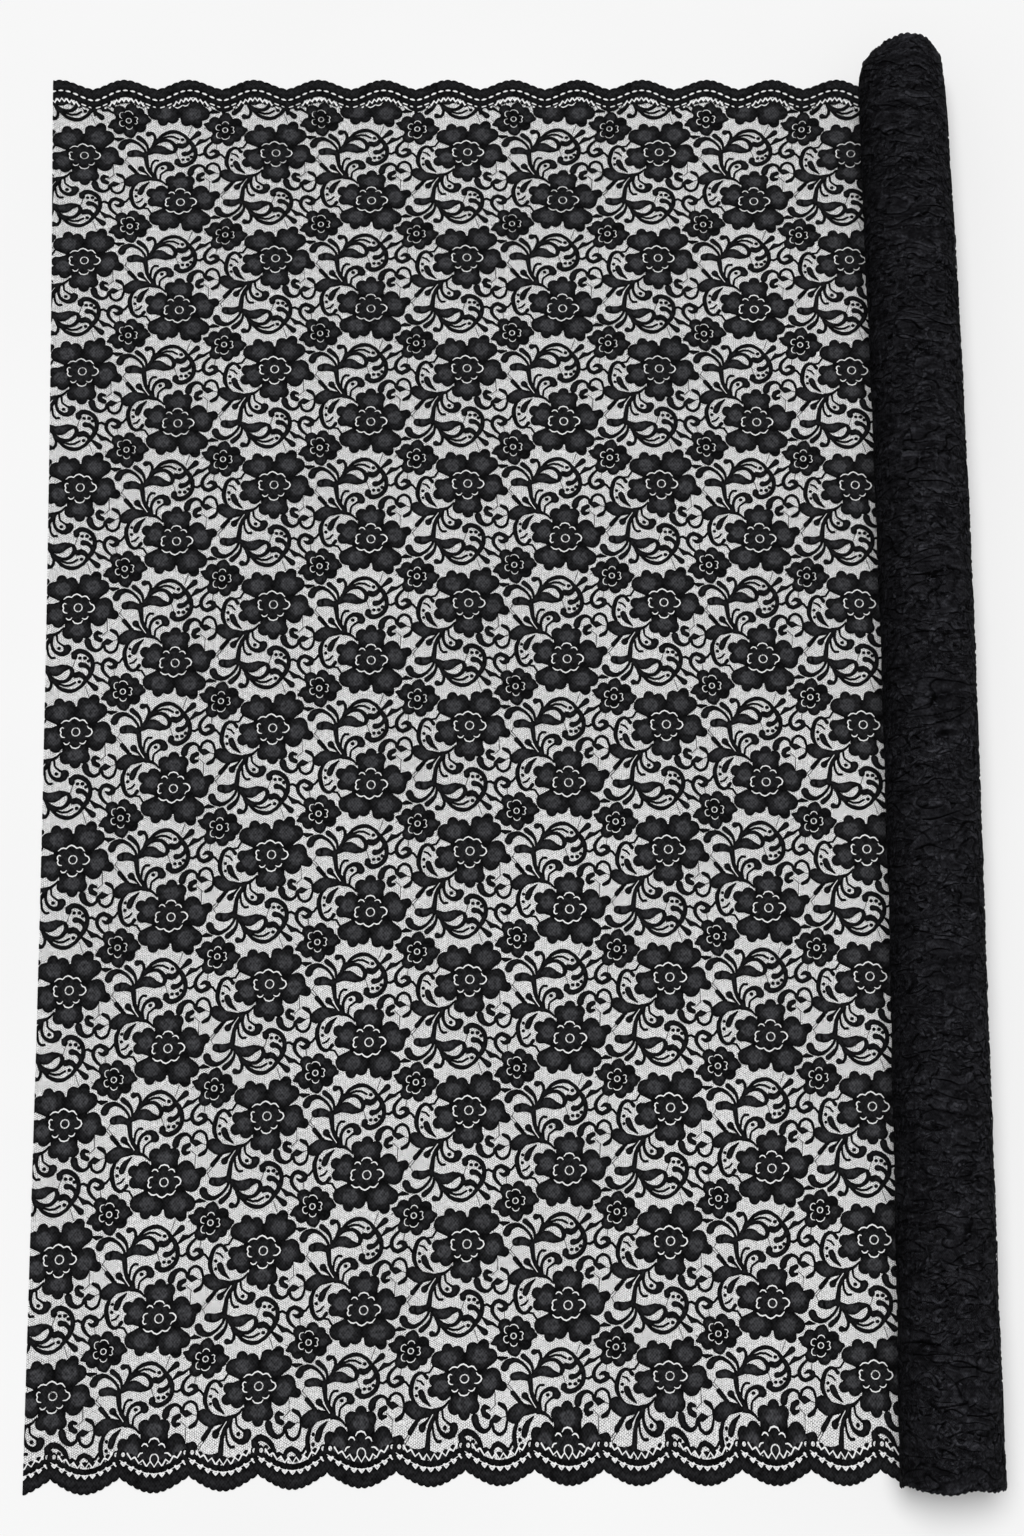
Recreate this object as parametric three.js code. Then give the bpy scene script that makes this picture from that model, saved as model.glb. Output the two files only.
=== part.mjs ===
// A length of scalloped lace cloth, as it is sold off the roll: most of it is wound into
// a long roll with no tube inside, and the loose end lies flat beside the roll, which it
// leaves from underneath. Both selvages are scalloped, and the loose end is a plain cut.
//
// Millimetres, +Z up. The roll's axis runs along Y, and the loose end reaches out to -X.
// The origin is the middle of the whole, on the surface that it lies on.

import * as THREE from "three";

// ---- the cloth ----------------------------------------------------------------------
const CLOTH_WIDTH = 1500; // over the tips of the scallops
const CLOTH_THICKNESS = 1.5; // the lace with its raised outlines
const PATTERN_REPEAT = 208; // along the length of the cloth
const SCALLOPS_A_REPEAT = 3;
const SCALLOP_STEPS = 12; // straight pieces in one scallop
const HALF_WIDTH = CLOTH_WIDTH / 2;

// The two selvages. side is the direction it faces along Y, depth is how deep its
// scallops are, and notchX is where one of its notches lies. Roundness 0 gives a smooth
// wave, and 1 gives round tips that meet in sharp notches. stretch is how much longer the
// selvage has been pulled than the pattern beside it.
const NEAR_SELVAGE = { side: -1, depth: 15, notchX: -418, roundness: 0.9, stretch: 1.005 };
const FAR_SELVAGE = { side: 1, depth: 11, notchX: -417, roundness: 0.35, stretch: 1.031 };

// ---- the loose end ------------------------------------------------------------------
const CUT_EDGE_X = -445; // where the cloth was cut, at the near selvage
const CUT_EDGE_LEAN = 14; // how much further out the cut runs at the far selvage
const CORNER_SAG = 10.5; // the near selvage bows out towards the cut corner
const SAG_START_X = 50;

// ---- the roll -----------------------------------------------------------------------
const ROLL_AXIS_X = 482; // over the near half
const ROLL_BEND = 14; // the far end lies this much nearer the cut edge
const BEND_START_Y = -200;
const FLATTENED_BY = 1.2; // the roll's own weight presses a narrow flat under it
const ROLL_SIDES = 60;
const SEAT_GAP = 0.5; // between the loose end's top and the roll's underside

// The roll's girth from end to end. It flares at the near end, where it is wound looser.
// At the far end the inner turns stand out past the outer ones, so it ends in a dome.
const ROLL_STATIONS = [
  { y: -751, radius: 51.0 },
  { y: -745, radius: 52.6 },
  { y: -690, radius: 51.9 },
  { y: -560, radius: 50.8 },
  { y: -416, radius: 50.0 },
  { y: -163, radius: 48.9 },
  { y: 60, radius: 49.1 },
  { y: 246, radius: 49.0 },
  { y: 400, radius: 48.7 },
  { y: 575, radius: 48.2 },
  { y: 680, radius: 47.4 },
  { y: 720, radius: 46.6 },
  { y: 735, radius: 45.4 },
  { y: 748, radius: 42.6 },
  { y: 758, radius: 38.0 },
  { y: 766, radius: 31.5 },
  { y: 771, radius: 24.0 },
  { y: 774, radius: 14.0 },
];
const DOME_START_Y = 720;
const DOME_SKEW = 8; // the dome's tip leans this far away from the cut edge

const domeStart = ROLL_STATIONS.find(({ y }) => y === DOME_START_Y);
const domeTip = ROLL_STATIONS.at(-1);

// How far a number has come from one value to another, from 0 to 1.
const share = (value, from, to) => Math.min(1, Math.max(0, (value - from) / (to - from)));

function rollAxisX(y) {
  const bend = ROLL_BEND * share(y, BEND_START_Y, HALF_WIDTH) ** 2;
  return ROLL_AXIS_X - bend + DOME_SKEW * share(y, DOME_START_Y, domeTip.y) ** 2;
}

// The roll lies on its flat all along. Only the dome rises clear of the surface.
const rollAxisHeight = (radius) => Math.max(radius, domeStart.radius) - FLATTENED_BY;

// One ring of the roll: a circle that is cut off level where it rests.
function rollRing({ y, radius }) {
  const ring = [];
  for (let i = 0; i < ROLL_SIDES; i++) {
    const turn = (2 * Math.PI * (i + 0.5)) / ROLL_SIDES;
    const height = rollAxisHeight(radius) + radius * Math.sin(turn);
    ring.push([rollAxisX(y) + radius * Math.cos(turn), y, Math.max(0, height)]);
  }
  return ring;
}

function woundRoll() {
  const points = ROLL_STATIONS.map(rollRing).flat();
  const last = ROLL_STATIONS.length - 1;
  const faces = [];
  const at = (ring, i) => ring * ROLL_SIDES + (i % ROLL_SIDES);
  for (let ring = 0; ring < last; ring++) {
    for (let i = 0; i < ROLL_SIDES; i++) {
      faces.push(at(ring, i), at(ring + 1, i), at(ring, i + 1));
      faces.push(at(ring, i + 1), at(ring + 1, i), at(ring + 1, i + 1));
    }
  }
  for (let i = 1; i < ROLL_SIDES - 1; i++) {
    faces.push(at(0, 0), at(0, i), at(0, i + 1));
    faces.push(at(last, 0), at(last, i + 1), at(last, i));
  }
  const geometry = new THREE.BufferGeometry();
  geometry.setAttribute("position", new THREE.Float32BufferAttribute(points.flat(), 3));
  geometry.setIndex(faces);
  geometry.computeVertexNormals();
  return geometry;
}

const scallopLength = ({ stretch }) => (stretch * PATTERN_REPEAT) / SCALLOPS_A_REPEAT;

// Where a selvage runs at a place along the cloth.
function selvageY(x, selvage) {
  const { side, depth, notchX, roundness } = selvage;
  const scallops = (x - notchX) / scallopLength(selvage);
  const along = scallops - Math.floor(scallops);
  const wave = 0.5 - 0.5 * Math.cos(2 * Math.PI * along);
  const arch = Math.sin(Math.PI * along);
  const rise = depth * (wave + (arch - wave) * roundness);
  const sag = side < 0 ? CORNER_SAG * share(x, SAG_START_X, CUT_EDGE_X) ** 1.3 : 0;
  return side * (HALF_WIDTH - depth + sag + rise);
}

// The points of a selvage from the cut edge to the roll.
function selvagePoints(fromX, toX, selvage) {
  const step = scallopLength(selvage) / SCALLOP_STEPS;
  const first = Math.ceil((fromX - selvage.notchX) / step + 0.2);
  const places = [fromX];
  for (let x = selvage.notchX + first * step; x < toX - 0.2 * step; x += step) {
    places.push(x);
  }
  places.push(toX);
  return places.map((x) => new THREE.Vector2(x, selvageY(x, selvage)));
}

// The loose end stops in the wedge under the roll, just short of touching it.
function tuckedX({ y, radius }) {
  const height = CLOTH_THICKNESS + SEAT_GAP;
  const reach = Math.sqrt(radius ** 2 - (rollAxisHeight(radius) - height) ** 2);
  return rollAxisX(y) - reach;
}

function looseEnd() {
  const tucked = ROLL_STATIONS.filter(({ y }) => y > -HALF_WIDTH && y < DOME_START_Y);
  const farCutX = CUT_EDGE_X - CUT_EDGE_LEAN;
  const near = selvagePoints(CUT_EDGE_X, tuckedX(tucked[0]), NEAR_SELVAGE);
  const far = selvagePoints(farCutX, tuckedX(domeStart), FAR_SELVAGE);
  const underRoll = tucked.slice(1).map((s) => new THREE.Vector2(tuckedX(s), s.y));
  const outline = new THREE.Shape([...near, ...underRoll, ...far.reverse()]);
  outline.quadraticCurveTo(CUT_EDGE_X, HALF_WIDTH / 3, CUT_EDGE_X, -HALF_WIDTH / 2);
  return new THREE.ExtrudeGeometry(outline, {
    depth: CLOTH_THICKNESS,
    bevelEnabled: false,
    curveSegments: 12,
  });
}

const cloth = new THREE.Group();

const roll = new THREE.Mesh(
  woundRoll(),
  new THREE.MeshStandardMaterial({ color: 0x131315, roughness: 0.75, metalness: 0 }),
);
roll.name = "lace_roll";
cloth.add(roll);

const loose = new THREE.Mesh(
  looseEnd(),
  new THREE.MeshStandardMaterial({ color: 0x1c1c1f, roughness: 0.85, metalness: 0 }),
);
loose.name = "loose_length";
cloth.add(loose);

// The origin goes to the middle of the whole, on the surface.
const middle = new THREE.Box3().setFromObject(cloth).getCenter(new THREE.Vector3());
cloth.position.set(-middle.x, -middle.y, 0);

export default cloth;
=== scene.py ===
import math

import bmesh
import bpy
import numpy as np
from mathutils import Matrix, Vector
from mathutils.geometry import delaunay_2d_cdt


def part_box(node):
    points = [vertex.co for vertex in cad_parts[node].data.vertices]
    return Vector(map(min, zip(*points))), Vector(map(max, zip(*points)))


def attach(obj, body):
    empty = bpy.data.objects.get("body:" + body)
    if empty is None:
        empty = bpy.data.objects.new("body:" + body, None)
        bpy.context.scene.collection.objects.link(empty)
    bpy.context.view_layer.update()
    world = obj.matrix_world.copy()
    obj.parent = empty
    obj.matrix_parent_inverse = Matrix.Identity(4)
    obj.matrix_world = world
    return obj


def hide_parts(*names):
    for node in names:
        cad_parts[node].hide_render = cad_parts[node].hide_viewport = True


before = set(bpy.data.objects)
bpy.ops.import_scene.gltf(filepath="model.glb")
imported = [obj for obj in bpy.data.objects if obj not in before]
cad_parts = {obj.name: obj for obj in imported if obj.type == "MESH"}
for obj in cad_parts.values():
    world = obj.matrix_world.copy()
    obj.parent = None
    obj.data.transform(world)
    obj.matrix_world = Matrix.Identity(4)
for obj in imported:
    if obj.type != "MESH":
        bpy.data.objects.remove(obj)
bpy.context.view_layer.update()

# ---- The camera ------------------------------------------------------------------------
# It looks down on the cloth from two and a half metres up, and leans a little towards the
# far selvage.

CAMERA_HEIGHT = 2.4988
CAMERA_BACK = 0.4205
CAMERA_ASIDE = 0.0096
CAMERA_LEAN = math.radians(8.976)
camera_data = bpy.data.cameras.new("camera")
camera_data.lens = 56.25
camera_data.sensor_width = 36
camera = bpy.data.objects.new("camera", camera_data)
camera.location = (CAMERA_ASIDE, -CAMERA_BACK, CAMERA_HEIGHT)
camera.rotation_euler = (CAMERA_LEAN, 0, 0)
bpy.context.scene.collection.objects.link(camera)
bpy.context.scene.camera = camera

# ---- The lace's repeat -----------------------------------------------------------------
# Machine lace: a fine net, and on it flowers and scrolling leaves in dense filling, each
# outlined by a thicker cord. One flower with its sprays is drawn once, in millimetres from
# its centre, and repeats along and across the cloth, every other column flipped.

REPEAT = 208.0  # along the cloth
HALF_REPEAT = REPEAT / 2
ROW = 132.0  # from one row of flowers to the next
FLIP = 61.33  # a flipped flower's centre lies this far up from an upright one's

# Stems, scrolls and leaves, as soft pen strokes: x, y and width at each point.
SPRAYS = {
    "stem": [(-38, 62, 5.5), (-37, 54, 4.4), (-36, 46, 3.8), (-33, 39, 4), (-29, 31, 7.5)],
    "foot": [(-30, 30, 4), (-24, 28.5, 3.2), (-19, 25.5, 2), (-15, 21.5, 1.4)],
    "inner_leaf": [(-36, 62, 4), (-29, 66.5, 8), (-22, 67.5, 10.6), (-15, 64.5, 8), (-9.5, 64, 4)],
    "inner_arch": [
        (-33, 67, 3), (-28, 73, 2.4), (-22, 77.5, 2.8), (-14.5, 79, 3.2),
        (-8.5, 76, 3.8), (-4.8, 70, 4.6), (-6.5, 64.5, 3.6), (-11, 62.5, 2.6),
    ],
    "thin_arch": [(-25, 76.5, 1.6), (-19, 81, 2), (-13, 83.3, 2), (-7, 83, 2), (-1.5, 80, 1.8)],
    "plume": [
        (-34, 64, 4), (-29, 73, 2.8), (-24, 80, 2.8), (-17.5, 86, 3.4), (-9, 89, 4),
        (-2, 88.3, 3.4), (4.5, 84.5, 3.2), (9.5, 78, 4), (14.5, 71, 5), (16.8, 62.5, 4.2),
        (14.8, 54, 4.4), (9, 48.5, 4.6), (2, 46.6, 5), (-3.3, 49.3, 6.2), (-3, 52.3, 6.4),
    ],
    "comma_1": [(9.5, 79, 3), (7.5, 74.5, 4.6), (3, 71.5, 6), (-1.5, 72.3, 6)],
    "comma_2": [(14, 73, 2), (13, 66.5, 3.6), (9, 62.3, 4.4), (4.2, 61.4, 5.8)],
    "hook": [(-29, 73, 3.4), (-26.6, 80.5, 3), (-29, 87, 3.2), (-34, 86.6, 5.8)],
    "left_leaflet": [(-34.5, 64, 2), (-35.5, 72, 2.6), (-39, 77.6, 4.2), (-45, 82.6, 5.2)],
    "left_arch": [
        (-36, 61.5, 2.2), (-39.5, 69, 2.4), (-45.5, 75.5, 2.8),
        (-53, 79, 4.2), (-60.5, 76.5, 6.8), (-63.5, 71.5, 8),
    ],
    "left_leaf": [(-37, 58, 3), (-42, 61.5, 6.5), (-48, 63.3, 8.5), (-54, 62.3, 8)],
    "far_bud": [(-72, 82, 1.2), (-67, 80.5, 4.4), (-61, 81.5, 1.2)],
    "frond": [
        (-27, 31, 3), (-27.5, 39, 2.8), (-24.5, 46, 3.2),
        (-18, 49.6, 4.2), (-12.4, 48, 6.4), (-10.5, 43.6, 8.6),
    ],
    "frond_line": [(-22, 30, 2), (-21, 36, 1.6), (-16, 40, 1.8), (-12, 42, 3)],
    "frond_curl": [(-32, 40, 1.6), (-31, 48.5, 2), (-27.8, 53.3, 2.3), (-24, 53.3, 2.2)],
    "c_stem": [
        (-31, 29.5, 2.5), (-39, 29, 1.6), (-46.5, 25.6, 2.2), (-51.8, 19.5, 3.4), (-54, 10, 4.4),
        (-51, -2.3, 4), (-46, -7, 3.4), (-41.5, -6.3, 2.8), (-38, -2, 3.6),
    ],
    "c_leaf": [(-34, 25.6, 1), (-38.8, 21.8, 3.8), (-42, 17, 6.2), (-43.8, 12.4, 5.8)],
    "c_line": [(-48, 0.2, 1.4), (-44, 1.5, 1.8), (-41, 5, 1.4)],
    "big_leaf": [(-31, 31, 5), (-40, 31.4, 8), (-48, 31, 12), (-55, 26.4, 12.4)],
    "bud_leaf": [(-46, 36, 3.5), (-50.4, 40.5, 4.6), (-54.8, 46, 4.6)],
    "bud": [(-33.5, 35, 3), (-38, 38.6, 2.6), (-42.6, 43, 6.8)],
    "porthole": [(-42, -6.5, 1.6), (-35.5, -7.5, 1.8), (-32, -13, 1.6)],
    "club": [(10, 78, 1.4), (15, 82.8, 3.6), (20, 86.6, 6.2)],
    "side_leaf": [(17, 72, 1.6), (22, 77.3, 5.4), (27.5, 78, 3), (33, 82, 1.4)],
    "link": [(17, 60.5, 2), (21.5, 59.4, 2.4), (26, 62, 2.4)],
    "volute": [
        (36, 77, 2), (30, 71.5, 3), (26.8, 65.5, 3.6), (28, 59, 4), (33.5, 56, 4.2),
        (39.5, 59, 4.6), (41, 62.5, 5.5), (36.5, 65, 4), (32.5, 63, 1.4),
    ],
    "volute_tail": [(40, 61, 3), (45, 59.5, 2), (48.5, 55, 2)],
    "double_c": [
        (10.8, 36.5, 7.2), (12.3, 41.5, 6.4), (16.3, 45.3, 4.6), (21, 46.5, 3.2),
        (25.6, 43.8, 2.6), (26.9, 39, 2.4),
    ],
    "small_c": [
        (24.4, 35.4, 4.6), (20.2, 33.4, 5.4), (19.2, 29.8, 5.2), (21.4, 27.2, 4.4),
        (25.2, 28.4, 2.4),
    ],
    "second_c": [
        (27.5, 40, 3), (30, 46.5, 2.6), (35.5, 49, 2.6), (41, 46, 2.6),
        (43.5, 39, 2), (43, 31.5, 2), (39.8, 27, 4.2), (35.5, 25, 3),
    ],
    "c_bead": [(27.5, 39, 3), (32, 37.2, 7), (37, 37, 1.6)],
}
# The small beads in the scrolls: x, y, width, and how far each is drawn out along x.
BEADS = [
    (2.4, 79.4, 3.2, 0.6), (11.8, 57.5, 3.2, 0.4), (8, 54.3, 3.4, 0.6), (2.7, 54.2, 3, 0.6),
    (-19.8, 43.4, 3.2, 0.6), (-48.3, 15.8, 2.8, 0.4), (-48.5, 8.1, 3, 0.4),
]
CORD_ROUND = 0.5  # the outline cord makes each stroke and bead this much wider
# Single threads that tie the motifs together across the net, from end to end.
BRIDES = [
    [(26, 92), (33, 97)], [(-5, 65), (0, 50)], [(36, 37), (43, 35)], [(26, 31), (32.5, 25)],
    [(31.5, 25), (31, 12)], [(43, 9), (51, 17)], [(-54, 48), (-60, 55)], [(9, 84), (13, 95)],
    [(40, 75), (39, 66)], [(-35, -16), (-31, -22)], [(-3, 76), (3, 68)], [(-60, 54), (-56, 61)],
]
# A flower is made of round lobes, x, y and radius, that run together.
LARGE_FLOWER = [
    (0, 32.4, 6), (-9.6, 26.8, 7), (9.2, 26.8, 6.6), (0, 19, 14),
    (22, 11.8, 9), (38, 8.4, 5.4), (28, -1.6, 9.2), (31, 4, 7.6), (20, 4, 11),
    (25, -21.8, 8.2), (18.8, -33.4, 5.8), (7.8, -29.4, 7), (15, -20, 13),
    (-7.6, -26.6, 6.6), (-18, -30, 5.8), (-25.4, -19.6, 9), (-15.5, -19, 12),
    (-31.4, 12, 6), (-21, 14.5, 7), (-30, 0.8, 6), (-20, 5, 11.5), (0, -22, 4.6), (0, 0, 21.5),
]
SMALL_FLOWER = [
    (-9, 10.2, 7.2), (3.5, 13.2, 6.6), (12, 9.4, 5.4), (15.4, 1.5, 7.2), (21.6, 0.2, 2.9),
    (12, -7.4, 6.8), (1, -12.6, 7.4), (2.4, -18, 2.8), (-10.8, -9.4, 6.6), (-14.5, -4.2, 6.2),
    (-19, -6, 3.2), (-22, -7.1, 1.4), (0, 0, 14.6),
]
SMALL_FLOWER_AT = (-55, -29.3)
# The hearts of the petals, where the filling is thinner: x, y and the half width and height.
LARGE_HEARTS = [
    (0, 24, 9.2, 7), (26, 4.4, 8.4, 8.2), (15.5, -22, 9, 8.2), (-16.5, -20.5, 9, 8),
    (-23, 7, 8, 7.4),
]
SMALL_HEARTS = [
    (5, 12, 4, 4), (-9, 9, 4, 4), (15, 0.5, 4.5, 4), (1.5, -13.5, 5, 4.5), (-12, -6, 4, 3.5),
]
LEAF_HEARTS = [(-48, 30, 8, 5), (-22, 67, 8, 4.5), (-49, 62.5, 6, 3.5)]
# Open places round a flower's middle, as strokes again, and an open ring, by its outer and
# inner radius.
LARGE_OPEN = [
    [(-5.6, 13.8, 1.2), (-3.6, 16.4, 1.7), (0, 17.2, 1.8), (3.4, 16.2, 1.7), (5, 13.8, 1.2)],
    [(-12.6, 11, 1.2), (-10.6, 12.8, 1.7), (-7.8, 12.4, 1.7), (-6.4, 10.6, 1.2)],
    [(4.4, 11.4, 1.2), (6.8, 12.6, 1.7), (9.4, 11.8, 1.7), (10.8, 9.4, 1.2)],
    [(-11.6, 5.6, 1.2), (-14.4, 5, 1.7), (-16.2, 2.6, 1.7), (-15.4, 0.6, 1.6)],
    [(-15.4, 0.2, 1.6), (-16.4, -2.4, 1.8), (-15, -4.8, 1.8), (-12.8, -4.2, 1.2)],
    [(10.4, 4.8, 1.2), (13.4, 4.8, 1.7), (16.2, 2.9, 1.8), (17.4, 0, 1.8), (16, -2.8, 1.7),
     (13.4, -3.8, 1.6), (12, -6, 1.1)],
    [(-15.6, -9.2, 1.2), (-13, -11.5, 1.8), (-10, -12.2, 1.8), (-7.2, -11.4, 1.7),
     (-4.6, -13.8, 1.8), (-1.6, -14.9, 1.9), (1.4, -13.6, 1.8), (3.8, -11.6, 1.7),
     (6.8, -12.5, 1.8), (9.8, -11.4, 1.8), (12, -8.4, 1.2)],
]
SMALL_OPEN = [
    [(-4, 9.2, 1), (-2.2, 11, 1.3), (0.8, 11.3, 1.4), (3.6, 9.8, 1.3), (5, 7.2, 1)],
    [(6.4, 4.2, 1), (8.8, 3.8, 1.3), (9.8, 1.7, 1.3), (8.6, 0.4, 1.2)],
    [(8.6, 0, 1.2), (9.5, -2.4, 1.3), (8, -4, 1.3), (6.2, -3.5, 1)],
    [(-3.2, -7.2, 1), (-1.9, -9.4, 1.3), (0.4, -10.2, 1.4), (2.8, -9.3, 1.3), (4, -7.2, 1)],
    [(-5.4, 9.9, 1), (-8.2, 9.4, 1.3), (-9.6, 7, 1.3), (-9.2, 4.2, 1.3), (-7.4, 2.6, 1)],
    [(-6.4, 0.4, 1), (-9, -0.2, 1.3), (-10, -2.6, 1.3), (-9, -5.5, 1.3), (-6.6, -6.7, 1.3),
     (-4.8, -5.8, 1)],
]
LARGE_RING = (4.8, 3.6)
SMALL_RING = (3.3, 2.2)
FILLED_IN = 0.3  # the filling narrows each open place by this much
STEM_SLITS = [
    [(-38.4, 42, 0.8), (-35, 37, 1.4), (-31.6, 32.6, 0.8)],
    [(-46.4, 39.4, 0.7), (-43, 37.2, 1.3), (-39.5, 35.6, 0.7)],
]

# What a place in the lace is made of. A later shape covers an earlier one.
NET, OPEN, SPRAY, FLOWER, BORDER = range(5)
CORD_IN = 0.9  # the cord lies this far in from a motif's edge
RELIEF_REACH = 3.0  # further in than this a motif's filling is level
THREAD_WIDTH = 0.65  # of a stroke that is only a thread
STROKE_SLACK = 0.38  # a thinned line may leave its true bend by this much
LOBE_SLACK = 0.22
FINE_STEP = 0.4  # between the points of a line before it is thinned
FULL_HALF = 2.8  # a stroke with a greater half width has points down its middle too


def smooth_line(points):
    """A smooth curve through the points, thinned to what its bends need, with its directions."""
    p = np.array([q if len(q) == 3 else (*q, THREAD_WIDTH) for q in points], float)
    p = np.vstack([2 * p[0] - p[1], p, 2 * p[-1] - p[-2]])
    fine = []
    for a, b, c, d in zip(p, p[1:], p[2:], p[3:]):
        steps = max(2, int(np.hypot(*(c - b)[:2]) / FINE_STEP))
        t = (np.arange(steps) / steps)[:, None]
        bend = (-a + 3 * b - 3 * c + d) * t**3 + (2 * a - 5 * b + 4 * c - d) * t**2
        fine.append(0.5 * (bend + (c - a) * t + 2 * b))
    fine = np.vstack([*fine, p[-2:-1]])
    keep = thinned(fine, STROKE_SLACK)
    way = np.gradient(fine[:, :2], axis=0)
    way /= np.hypot(*way.T)[:, None]
    return fine[keep], way[keep]


def thinned(line, slack):
    """The indices of the points of a line that its bends and its widths need."""
    keep, spans = {0, len(line) - 1}, [(0, len(line) - 1)]
    while spans:
        a, b = spans.pop()
        if b < a + 2:
            continue
        along = line[b, :2] - line[a, :2]
        off = line[a + 1 : b, :2] - line[a, :2]
        length = np.hypot(*along)
        away = np.hypot(*off.T)
        if length > 1e-3:
            away = abs(along[0] * off[:, 1] - along[1] * off[:, 0]) / length
        if line.shape[1] == 3:
            width = np.linspace(line[a, 2], line[b, 2], b - a + 1)[1:-1]
            away = np.maximum(away, 0.5 * abs(line[a + 1 : b, 2] - width))
        worst = int(away.argmax())
        if away[worst] > slack:
            middle = a + 1 + worst
            keep.add(middle)
            spans += [(a, middle), (middle, b)]
    return sorted(keep)


def stroke(points):
    """The outline of a soft stroke with round ends, and the line of the cord inside it."""
    line, way = smooth_line(points)
    side = np.stack([-way[:, 1], way[:, 0]], 1)
    centre, half = line[:, :2], line[:, 2:] / 2

    def cap(at, direction, radius):
        turns = [54, 18, -18, -54] if radius > 1.8 else [45, 0, -45] if radius > 0.7 else [0]
        angle = math.atan2(direction[1], direction[0]) + np.radians(turns)
        return at + radius * np.stack([np.cos(angle), np.sin(angle)], 1)

    outline = np.vstack([
        centre + side * half,
        cap(centre[-1], way[-1], half[-1, 0]),
        (centre - side * half)[::-1],
        cap(centre[0], -way[0], half[0, 0]),
    ])
    inset = np.maximum(half - CORD_IN, 0)
    wide, full = half[:, 0] > 1.7 * CORD_IN, half[:, 0] > FULL_HALF
    cords = [centre[~wide | full], (centre + side * inset)[wide], (centre - side * inset)[wide]]
    return outline, np.vstack(cords)


def lobed(lobes):
    """The outline of round lobes run together, seen from the middle, and its cord."""
    angle = np.linspace(0, 2 * np.pi, 240, endpoint=False)
    way = np.stack([np.cos(angle), np.sin(angle)], 1)
    reach = np.zeros(len(angle))
    for x, y, radius in lobes:
        ahead = way @ (x, y)
        met = ahead**2 - (x * x + y * y - radius * radius)
        far = np.where(met > 0, ahead + np.sqrt(np.maximum(met, 0)), 0)
        reach = np.maximum(reach, far)
    outline = way * reach[:, None]
    tangent = np.roll(outline, -1, 0) - np.roll(outline, 1, 0)
    tangent /= np.hypot(*tangent.T)[:, None]
    cord = outline + CORD_IN * np.stack([-tangent[:, 1], tangent[:, 0]], 1)
    keep = thinned(np.vstack([outline, outline[:1]]), LOBE_SLACK)[:-1]
    return outline[keep], cord[keep]


def circle(x, y, radius, sides):
    """A round outline."""
    angle = 2 * np.pi * np.arange(sides) / sides
    return np.stack([x + radius * np.cos(angle), y + radius * np.sin(angle)], 1)


def motif_shapes():
    """One flower with its sprays, as what it is made of, an outline and the cord inside."""
    beads = [[(x, y, width), (x + out, y, width)] for x, y, width, out in BEADS]
    sprays = [
        [(x, y, width + CORD_ROUND) for x, y, width in points]
        for points in [*SPRAYS.values(), *beads]
    ]
    shapes = [(SPRAY, *stroke(points)) for points in [*BRIDES, *sprays]]
    shapes += [(OPEN, stroke(points)[0], None) for points in STEM_SLITS]
    flowers = [
        (LARGE_FLOWER, LARGE_HEARTS, LARGE_OPEN, LARGE_RING, (0, 0)),
        (SMALL_FLOWER, SMALL_HEARTS, SMALL_OPEN, SMALL_RING, SMALL_FLOWER_AT),
    ]
    for lobes, hearts, open_places, ring, at in flowers:
        outline, cord = lobed(lobes)
        rings = [
            circle(0, 0, part, 9) * (wide, high) + (x, y) + at
            for x, y, wide, high in hearts
            for part in (1.0, 0.78)
        ]
        shapes.append((FLOWER, outline + at, np.vstack([cord + at, *rings])))
        for points in open_places:
            slit = [(x, y, width - FILLED_IN) for x, y, width in points]
            shapes.append((OPEN, stroke(slit)[0] + at, None))
        shapes.append((OPEN, circle(*at, ring[0], 20), None))
        shapes.append((FLOWER, circle(*at, ring[1], 16), circle(*at, ring[1] - CORD_IN, 9)))
    return shapes


def placed(points, copy):
    """Points of the upright flower, in one of its copies over the cloth."""
    flip, dx, dy = copy
    return None if points is None else points * (1, flip) + (dx, dy)


COPIES = [
    copy
    for i in range(-2, 3)
    for j in range(-2, 3)
    for copy in ((1, i * REPEAT, j * ROW), (-1, (i + 0.5) * REPEAT, FLIP + j * ROW))
]


def repeated(shapes, low, high):
    """The copies of shapes that reach into a window, those of a kind together."""
    found = []
    low, high = low - RELIEF_REACH, high + RELIEF_REACH
    for kind, outline, cord in shapes:
        for copy in COPIES:
            moved = placed(outline, copy)
            if (moved.max(0) > low).all() and (moved.min(0) < high).all():
                found.append((kind, moved, placed(cord, copy)))
    return found


def inside(points, outline):
    """Which points lie in an outline, by how often it winds round them."""
    found = np.zeros(len(points), bool)
    near = ((points > outline.min(0)) & (points < outline.max(0))).all(1)
    if not near.any():
        return found
    x, y = points[near].T[..., None]
    ax, ay = outline.T
    bx, by = np.roll(outline, -1, 0).T
    left = (bx - ax) * (y - ay) - (x - ax) * (by - ay)
    up = (ay <= y) & (by > y) & (left > 0)
    down = (ay > y) & (by <= y) & (left < 0)
    found[near] = (up.sum(1) - down.sum(1)) != 0
    return found


FLOWER_MIDDLE = (0, 0, 15, 13)  # its filling is a little thinner too
FULLY_IN = 0.18  # this far into a heart, as a part of its size, the filling is thinnest


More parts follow.
